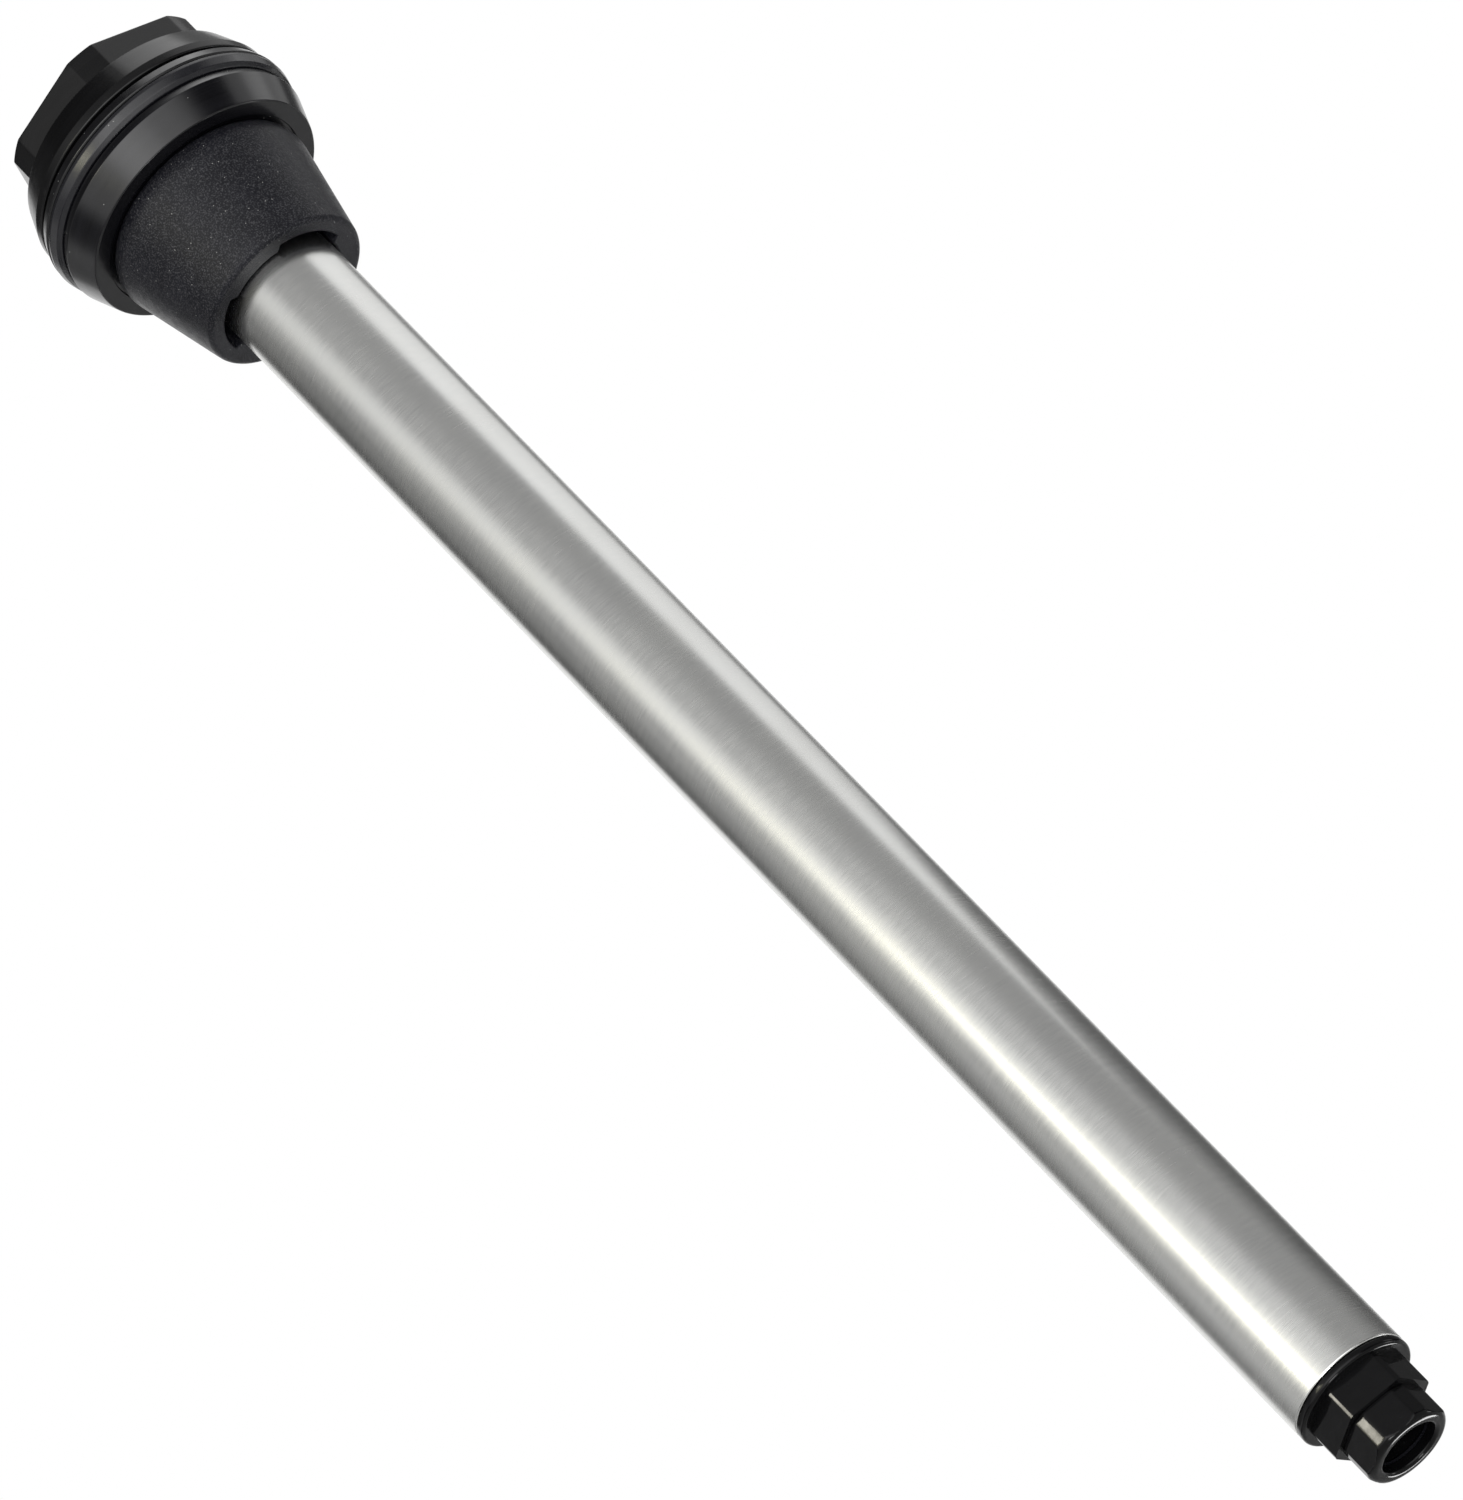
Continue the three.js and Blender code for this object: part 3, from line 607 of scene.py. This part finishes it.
def make_cap():
    """Ring nut: a round flange with a sloped shoulder, a hexagon on it, and a threaded bore."""
    rim_inside = 26.9
    thread_bottom = CAP_LAND + 0.5
    thread_top = CAP_WEB - 0.4
    bore = split([(CAP_BORE, CAP_WEB), (CAP_BORE, thread_bottom)], 0.22, closed=False)
    shell = fillet([
        (CAP_BORE + 0.4, CAP_LAND),
        (rim_inside, CAP_LAND, 0.15),
        (rim_inside, CAP_RIM, 0.1),
        (28.05, CAP_RIM, 0.4),
        (28.0, 16.7, 0.3),
        (25.8, 22.5, 0.25),
        (25.45, CAP_SHOULDER, 0.15),
        (CAP_CORNER + 0.1, CAP_SHOULDER, 0.1),
    ], closed=False)
    wall_radius = CAP_CORNER + 0.06
    wall_top = CAP_TOP - CAP_EDGE
    wall = split([(wall_radius, CAP_SHOULDER + 0.1), (wall_radius, wall_top)], 1.2, closed=False)
    rounded = arc(CAP_CORNER - CAP_EDGE, wall_top, CAP_EDGE, start=15, end=90, steps=5)
    top = fillet([
        (CAP_FLATS / 2 - 1.2, CAP_TOP),
        (CAP_WINDOW, CAP_TOP, 0.4),
        (CAP_WINDOW, CAP_WEB),
    ], closed=False)

    def thread_root(angle, z):
        whole = fade(z, thread_bottom, thread_bottom + 1.3) * fade(z, thread_top, thread_top - 1.2)
        height = thread_height(angle, z, CAP_PITCH, shift=0.5)
        return CAP_BORE + CAP_THREAD_DEPTH * whole * (1 - height)

    def hexed(angle, radius, z):
        if at(radius, CAP_BORE) and z < CAP_WEB:
            return thread_root(angle, z)
        if z <= CAP_SHOULDER + 0.05 or radius < CAP_FLATS / 2 - 1:
            return radius
        limit = hexagon_radius(angle, CAP_FLATS, CAP_CORNER, CAP_TURN, softness=0.05)
        # the rounded top edge is drawn at the corners' radius and shrinks with the limit
        return min(radius, limit) if radius > CAP_CORNER else radius + limit - CAP_CORNER

    outline = shell + wall + rounded + top + bore
    angles = hexagon_angles(CAP_TURN, corner_reach(CAP_FLATS, CAP_CORNER))
    cap = revolve("ring_nut", outline, angles, hexed)
    stand_for(cap, "cap", "cap_nut", "head_plastic", "cap_plastic")


# ------------------------------------------------------------------ rubber stopper


def make_stopper():
    """Tapered stopper: a socket for the spigot, and three lobes that grip the tube below it."""
    socket = SPIGOT_RADIUS + 0.3
    socket_top = RECESS_DEPTH - 0.3
    socket_bottom = SPIGOT_BOTTOM - 0.3
    pocket_top = socket_bottom - 1.2
    pocket_run_in = 0.8
    half_pocket = 32.5           # degrees from a pocket's middle to its side
    half_wall = 1.6              # degrees over which that side is spread, each way
    lip_rounding = 1.28
    mouth_rounding = 0.5
    # the wall leans by the 12 degrees at which one arc starts and the other ends
    shoulder = arc(16.03, -3.11, 6.2, start=-12, end=28, steps=14)
    lip = arc(16.7, STOPPER_BOTTOM + lip_rounding, lip_rounding, start=-88, end=-12, steps=9)
    bore_bottom = STOPPER_BOTTOM + mouth_rounding
    bore = split([(STOPPER_GRIP, pocket_top - 0.05), (STOPPER_GRIP, bore_bottom)], 1.0, closed=False)
    mouth = arc(STOPPER_GRIP + mouth_rounding, bore_bottom, mouth_rounding,
                start=190, end=268, steps=5)
    outline = (
        lip
        + split([lip[-1], shoulder[0]], 2.5, closed=False)[1:-1]
        + shoulder
        + [(21.1, socket_top), (socket, socket_top), (socket, socket_bottom)]
        + [(STOPPER_GRIP, socket_bottom)]
        + bore
        + mouth
    )

    def lobed(angle, radius, z):
        if z > pocket_top or radius > STOPPER_GRIP + 0.9:
            return radius
        from_lobe = (math.degrees(angle) - STOPPER_LOBE_TURN) % 120
        from_pocket = abs(from_lobe - 60)
        opening = fade(from_pocket, half_pocket + half_wall, half_pocket - half_wall)
        opening *= fade(z, pocket_top, pocket_top - pocket_run_in)
        return radius + (STOPPER_RELIEF - STOPPER_GRIP) * opening

    stopper = revolve("tapered_stopper", outline, even_angles(240), lobed)
    stand_for(stopper, "probe", "rubber_stopper", "stopper_rubber")


# ------------------------------------------------------------------ tip


def make_tip_fitting():
    """Plug with two seal grooves, the end ring, the hexagon and the threaded stub."""
    groove_middles = (-334.2, -328.2)
    groove_half = 1.1
    groove_radius = PLUG_RADIUS - 1.9
    ring_top = TUBE_BOTTOM - 0.3
    thread_bottom = STUB_BOTTOM + 0.5
    thread_top = TIP_HEX_BOTTOM - 0.4
    plug = []
    for middle in groove_middles:
        low = middle - groove_half
        high = middle + groove_half
        plug += [(PLUG_RADIUS, low), (groove_radius, low), (groove_radius, high), (PLUG_RADIUS, high)]
    plug += [(PLUG_RADIUS - 0.6, PLUG_TOP), (TIP_BORE, PLUG_TOP)]
    stub = fillet([
        (TIP_BORE, STUB_BOTTOM, 0.15),
        (STUB_RADIUS, STUB_BOTTOM, 0.35),
        (STUB_RADIUS, TIP_HEX_BOTTOM - 0.5),
    ], closed=False)
    threads = split([(STUB_RADIUS, thread_bottom), (STUB_RADIUS, thread_top)], 0.12, closed=False)
    hexagon = fillet([
        (STUB_RADIUS, TIP_HEX_BOTTOM),
        (TIP_HEX_CORNER, TIP_HEX_BOTTOM, 0.08),
        (TIP_HEX_CORNER + 0.2, TIP_HEX_BOTTOM + 0.2, 0.1),
        (TIP_HEX_CORNER + 0.2, TIP_RING_BOTTOM, 0.02),
        (TUBE_RADIUS, TIP_RING_BOTTOM, 0.75),
        (TUBE_RADIUS, ring_top, 0.12),
        (PLUG_RADIUS, ring_top),
    ], steps=6, closed=False)
    reach = corner_reach(TIP_HEX_FLATS, TIP_HEX_CORNER)
    cut = TIP_HEX_CORNER * math.cos(math.radians(reach))

    def shaped(angle, radius, z):
        if at(radius, STUB_RADIUS) and thread_bottom - 0.1 < z < thread_top + 0.1:
            height = fade(z, thread_bottom, thread_bottom + 0.6) * thread_height(angle, z, GUARD_PITCH)
            return radius - GUARD_THREAD_DEPTH * (1 - height)
        if radius < STUB_RADIUS + 0.5 or z > TIP_RING_BOTTOM - 0.01:
            return radius
        limit = hexagon_radius(angle, TIP_HEX_FLATS, cut, TIP_TURN, softness=0.03, flat_cut=True)
        return min(radius, limit)

    outline = stub[:-1] + threads + hexagon + plug
    fitting = revolve("tip_fitting", outline, hexagon_angles(TIP_TURN, reach), shaped)
    stand_for(fitting, "probe", "tip_adapter", "tip_plastic")


def make_guard():
    """Small hexagonal nut with a rounded mouth and a threaded bore."""
    thread_bottom = GUARD_FLOOR + 0.3
    thread_top = GUARD_TOP - 0.3
    run_in = 0.7
    reach = corner_reach(GUARD_FLATS, GUARD_CORNER)
    cut = GUARD_CORNER * math.cos(math.radians(reach))
    outside = fillet([
        (GUARD_BORE, GUARD_TOP),
        (GUARD_CORNER - 0.2, GUARD_TOP, 0.08),
        (GUARD_CORNER + 0.05, GUARD_TOP - 0.2, 0.1),
        (GUARD_CORNER + 0.05, GUARD_BOTTOM, 1.7),
        (GUARD_MOUTH, GUARD_BOTTOM, 0.85),
        (GUARD_MOUTH, GUARD_FLOOR),
        (GUARD_BORE, GUARD_FLOOR),
    ], steps=12, closed=False)
    threads = split([(GUARD_BORE, thread_bottom), (GUARD_BORE, thread_top)], 0.12, closed=False)

    def shaped(angle, radius, z):
        if at(radius, GUARD_BORE) and thread_bottom - 0.1 < z < thread_top + 0.1:
            starting = fade(z, thread_bottom, thread_bottom + run_in)
            ending = fade(z, thread_top, thread_top - run_in)
            height = thread_height(angle, z, GUARD_PITCH, shift=0.5)
            return radius + GUARD_THREAD_DEPTH * starting * ending * (1 - height)
        if radius < GUARD_BORE + 0.7:
            return radius
        limit = hexagon_radius(angle, GUARD_FLATS, cut, TIP_TURN, softness=0.06, flat_cut=True)
        return min(radius, limit)

    outline = split(outside, 0.8, closed=False) + threads
    guard = revolve("tip_guard", outline, hexagon_angles(TIP_TURN, reach), shaped)
    stand_for(guard, "guard", "guard_nut", "tip_plastic")


# ------------------------------------------------------------------ pieces kept from the CAD

KEPT_NODES = {
    "cable_jacket": ["inlet_lead", "sensor_cable"],
    "foam": ["cable_foam"],
    "board_green": ["main_board", "connector_board"],
    "chip_black": ["microcontroller", "voltage_regulator"],
    "nylon": ["lead_header_upper", "lead_header_lower", "board_carrier_upper", "board_carrier_lower"],
    "tin_plate": ["amplifier_shield", "tube_retaining_clip", "temperature_sensor",
                  "board_screw_1", "board_screw_2", "board_screw_3"],
    "gold_plate": [f"contact_pin_{i}" for i in range(1, 6)],
    "seal_rubber": ["tube_seal", "inlet_seal", "tube_plug_seal_1", "tube_plug_seal_2",
                    "carrier_seal", "guard_gasket"],
    "washer_plastic": ["contact_insulator", "sensor_carrier"],
    "head_plastic": ["inlet_housing"],
    "porous_ceramic": ["reference_junction"],
    "silver_wire": ["silver_electrode"],
    "electrode_glass": ["glass_electrode"],
}


def dress_kept_nodes():
    """Better materials for the CAD nodes whose shapes stay."""
    for material, names in KEPT_NODES.items():
        for name in names:
            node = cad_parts[name]
            for slot in node.material_slots:
                slot.material = MATERIALS[material]


# ------------------------------------------------------------------ light, floor and camera


def add_area(name, place, target, size, radiance, roll=0.0, colour=(1, 1, 1)):
    """Rectangular light of that radiance, aimed at target and rolled by that many degrees."""
    width, height = size
    light = bpy.data.lights.new(name, "AREA")
    light.shape = "RECTANGLE"
    light.size = width
    light.size_y = height
    light.energy = radiance * math.pi * width * height
    light.color = colour
    obj = bpy.data.objects.new(name, light)
    aimed = (Vector(target) - Vector(place)).to_track_quat("-Z", "Y").to_matrix().to_4x4()
    obj.matrix_world = Matrix.Translation(place) @ aimed @ Matrix.Rotation(math.radians(roll), 4, "Z")
    obj.visible_camera = False
    bpy.context.scene.collection.objects.link(obj)


def sky(azimuth, elevation):
    """Unit direction; azimuth 0 is towards -Y, 90 towards -X."""
    a = math.radians(azimuth)
    e = math.radians(elevation)
    return Vector((-math.sin(a) * math.cos(e), -math.cos(a) * math.cos(e), math.sin(e)))


def math_node(tree, operation, first, second):
    """Output of a Math node of the world; each side is a number or a socket."""
    node = tree.nodes.new("ShaderNodeMath")
    node.operation = operation
    for socket, value in zip(node.inputs, (first, second)):
        if isinstance(value, bpy.types.NodeSocket):
            tree.links.new(value, socket)
        else:
            socket.default_value = value
    return node.outputs[0]


def make_world():
    """White backdrop for the camera; what lights the probe is an even grey with soft patches."""
    surround = 0.35
    darkest = 0.03
    patches = [
        # direction, strength, degrees from its middle where it is full and where it ends
        (sky(171, 24.1), 0.78, 27.1, 30.4),
        (sky(34.7, 1.2), 0.74, 20, 41.9),
        (sky(110.8, 52.2), -0.29, 29.5, 32.6),
        (sky(-134.2, -20), -0.34, 3.8, 73.7),
        (sky(-7.9, -20.3), 1.6, 2, 54.3),
        (sky(96.4, -1.7), 0.35, 3.4, 45),
        (sky(-95, 63), 1.6, 10, 22),
        (sky(15, 76), -0.33, 14, 30),
        (sky(85, -8), -0.6, 10, 28),
        (sky(-66, -6), -0.35, 8, 26),
        (sky(125, -6), -0.45, 8, 26),
        (sky(-108, 9), 1.0, 5, 13),
        (sky(8, -6), 0.9, 10, 26),
        (sky(178, -12), 0.75, 18, 26),
    ]
    world = bpy.data.worlds.new("studio")
    bpy.context.scene.world = world
    world.use_nodes = True
    tree = world.node_tree
    tree.nodes.clear()
    direction = tree.nodes.new("ShaderNodeTexCoord").outputs["Generated"]
    brightness = surround
    for towards, strength, full, end in patches:
        dot = tree.nodes.new("ShaderNodeVectorMath")
        dot.operation = "DOT_PRODUCT"
        tree.links.new(direction, dot.inputs[0])
        dot.inputs[1].default_value = towards
        patch = tree.nodes.new("ShaderNodeMapRange")
        patch.interpolation_type = "SMOOTHERSTEP"
        tree.links.new(dot.outputs["Value"], patch.inputs["Value"])
        patch.inputs["From Min"].default_value = math.cos(math.radians(end))
        patch.inputs["From Max"].default_value = math.cos(math.radians(full))
        patch.inputs["To Max"].default_value = strength
        brightness = math_node(tree, "ADD", patch.outputs[0], brightness)
    # darker patches overlap, so the sum is kept above zero
    brightness = math_node(tree, "MAXIMUM", brightness, darkest)
    lit = tree.nodes.new("ShaderNodeBackground")
    lit.inputs["Color"].default_value = (1, 1, 1, 1)
    tree.links.new(brightness, lit.inputs["Strength"])
    backdrop = tree.nodes.new("ShaderNodeBackground")
    backdrop.inputs["Color"].default_value = (1, 1, 1, 1)
    backdrop.inputs["Strength"].default_value = 1.0
    seen = tree.nodes.new("ShaderNodeLightPath").outputs["Is Camera Ray"]
    mix = tree.nodes.new("ShaderNodeMixShader")
    tree.links.new(seen, mix.inputs[0])
    tree.links.new(lit.outputs[0], mix.inputs[1])
    tree.links.new(backdrop.outputs[0], mix.inputs[2])
    output = tree.nodes.new("ShaderNodeOutputWorld")
    tree.links.new(mix.outputs[0], output.inputs["Surface"])


def make_lights():
    """Soft cards round the probe: places and sizes in metres."""
    tube_low = Vector((0, 0, -0.3))
    tip = Vector((0, 0, -0.35))
    # the side card lights one flank of the head and the upper tube, the key card makes the
    # warm streak on the lower tube, and the low card draws fine edges on the end ring
    add_area("side_card", (0.45, 0.105, 0.356), (0, 0.105, 0.356), (0.575, 0.657), 0.74, roll=18.5)
    add_area("key_card", tube_low + 2.5 * sky(37.7, 16.6), tube_low, (0.71, 0.52), 4.5,
             roll=-34.4, colour=(1, 0.965, 0.68))
    add_area("low_card", (0.75, 0.35, -0.75), tube_low, (0.2, 0.2), 3.5)
    # the small ones are for the glossy tip: its cut corners, its lip and its end ring
    add_area("glint_card", tip + 1.6 * sky(37.5, 23.4), tip, (0.085, 0.085), 26,
             colour=(1, 0.96, 0.85))
    add_area("lip_card", tip + 0.45 * sky(190, -38), tip, (0.15, 0.12), 14)
    add_area("edge_card", tip + 0.45 * sky(15, -62), tip, (0.1, 0.16), 9)


def make_floor():
    """Pale floor well below the probe, curled up at its far edge like a paper roll, in metres."""
    half_width = 6.0
    level = -1.4
    near_edge = -1.2
    curl_start = 4.0
    curl_radius = 2.0
    curl = arc(curl_start, level + curl_radius, curl_radius, start=-90, end=0, steps=9)
    profile = [(near_edge, level)] + curl
    mesh = bmesh.new()
    rows = [[mesh.verts.new((x, y, z)) for x in (-half_width, half_width)] for y, z in profile]
    for near, far in zip(rows, rows[1:]):
        mesh.faces.new((near[0], near[1], far[1], far[0]))
    floor = finished_object("floor", mesh)
    s = Surface("pale_floor")
    s.link(s.mix(s.spread(s.noise(3), 0, 1), grey(0.86), grey(0.9)), "Base Color")
    s.link(s.spread(s.noise(8), 0.75, 0.9), "Roughness")
    floor.data.materials.append(s.material)


def make_camera():
    """Long lens below the probe's level, rolled so that the probe runs corner to corner."""
    place = (0, -1.7015, -1.0836)
    right = Vector((0.71734, 0.33118, -0.61298))
    up = Vector((0.69672, -0.34098, 0.63112))
    forward = Vector((0.0, 0.87980, 0.47534))
    data = bpy.data.cameras.new("camera")
    data.sensor_width = 36
    data.lens = 252.0
    data.clip_start = 0.1
    data.clip_end = 50
    camera = bpy.data.objects.new("camera", data)
    turn = Matrix((right, up, -forward)).transposed()
    camera.matrix_world = Matrix.Translation(place) @ turn.to_4x4()
    bpy.context.scene.collection.objects.link(camera)
    bpy.context.scene.camera = camera


make_camera()
make_tube()
make_collar()
make_sealing_rings()
make_cap()
make_stopper()
make_tip_fitting()
make_guard()
dress_kept_nodes()
make_world()
make_floor()
make_lights()
bpy.context.scene.view_settings.view_transform = "Standard"
